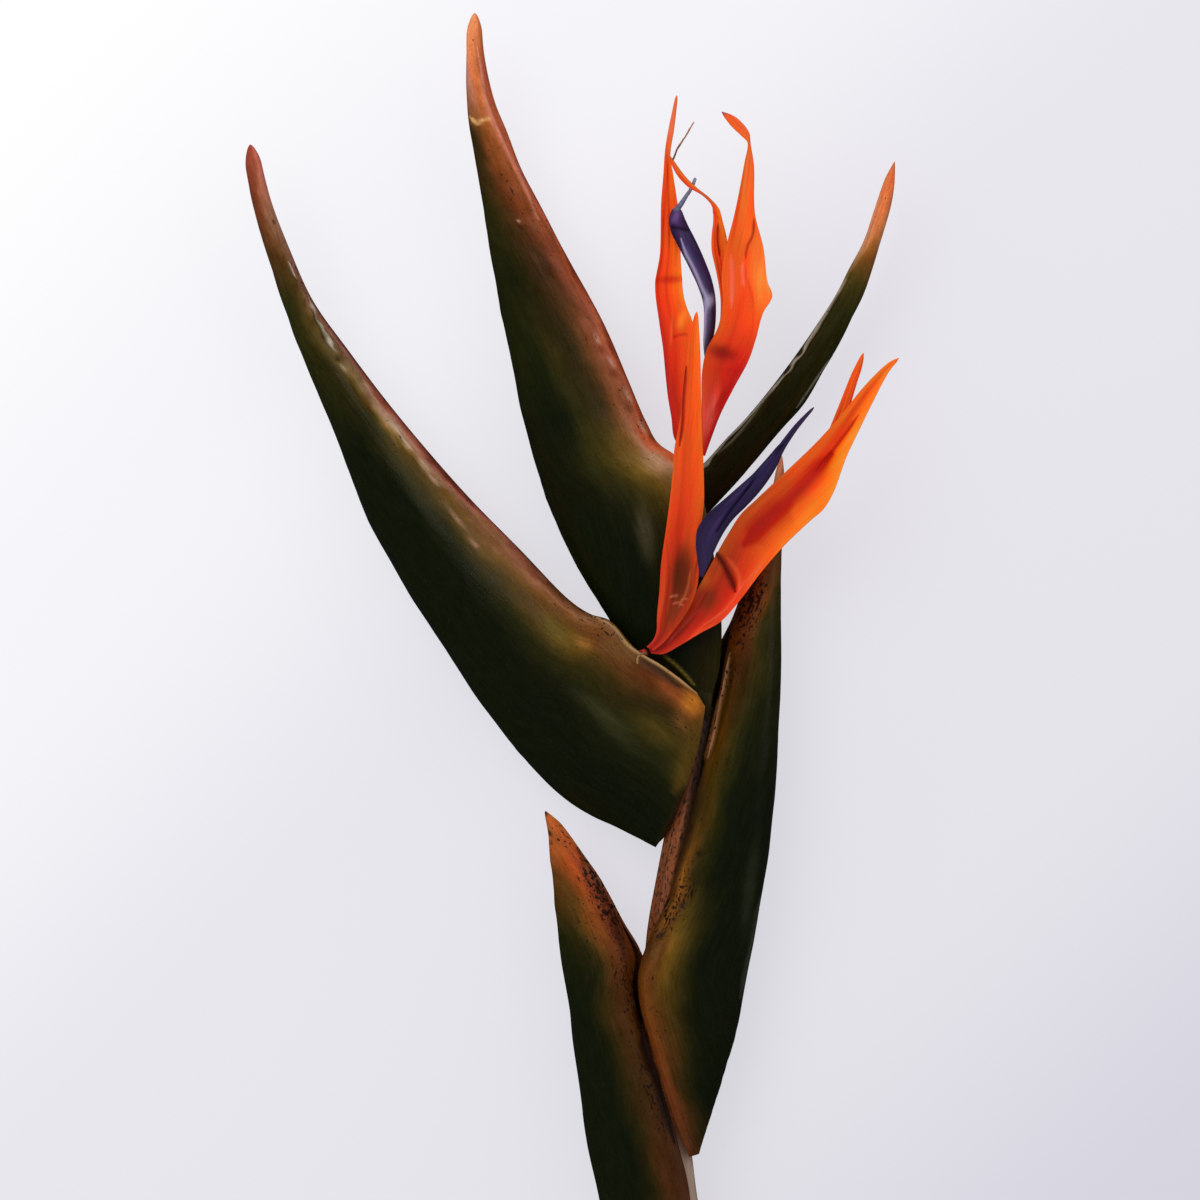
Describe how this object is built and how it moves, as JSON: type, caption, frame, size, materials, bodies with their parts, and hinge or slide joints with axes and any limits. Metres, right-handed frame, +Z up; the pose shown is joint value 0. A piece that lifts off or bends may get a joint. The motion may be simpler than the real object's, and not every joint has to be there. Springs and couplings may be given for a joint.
{
  "type": "bird of paradise flower",
  "caption": "cut bird of paradise flower lying on its side, with dark green boat-shaped bracts, orange sepals and blue tongues on a bare stem",
  "frame": {"origin": "on the resting surface, under the middle of the bounding box of the flower lying on its side", "axes": "+Z up, away from the surface it lies on; +Y along the flower, from the cut end of the stem towards the tips of the bracts; +X towards the flowers' right side as seen from above"},
  "size_m": [0.1628, 0.48, 0.0343],
  "materials": {
    "stem": "satin, pale pinkish tan, plant stem",
    "bract": "waxy gloss, dark green at the keel to orange red at the rim",
    "sepal": "satin, vivid orange petal",
    "tongue": "semi-gloss, dark violet blue petal",
    "flower_stalk": "satin, bright red",
    "dried_tip": "matte, dry brown"
  },
  "bodies": {
    "root": {"stem": "stem", "bract_lower_left": "bract", "bract_lower_right": "bract", "bract_middle_left": "bract", "bract_upper_left": "bract", "bract_upper_right": "bract", "lower_flower_stalk": "flower_stalk", "lower_flower_front_sepal": "sepal", "lower_flower_right_sepal": "sepal", "lower_flower_rear_sepal": "sepal", "lower_flower_tongue": "tongue", "lower_flower_tendril": "dried_tip", "upper_flower_stalk": "flower_stalk", "upper_flower_left_sepal": "sepal", "upper_flower_right_sepal": "sepal", "upper_flower_bent_sepal": "sepal", "upper_flower_tongue": "tongue", "upper_flower_style": "tongue", "upper_flower_filament": "dried_tip"}
  },
  "joints": []
}
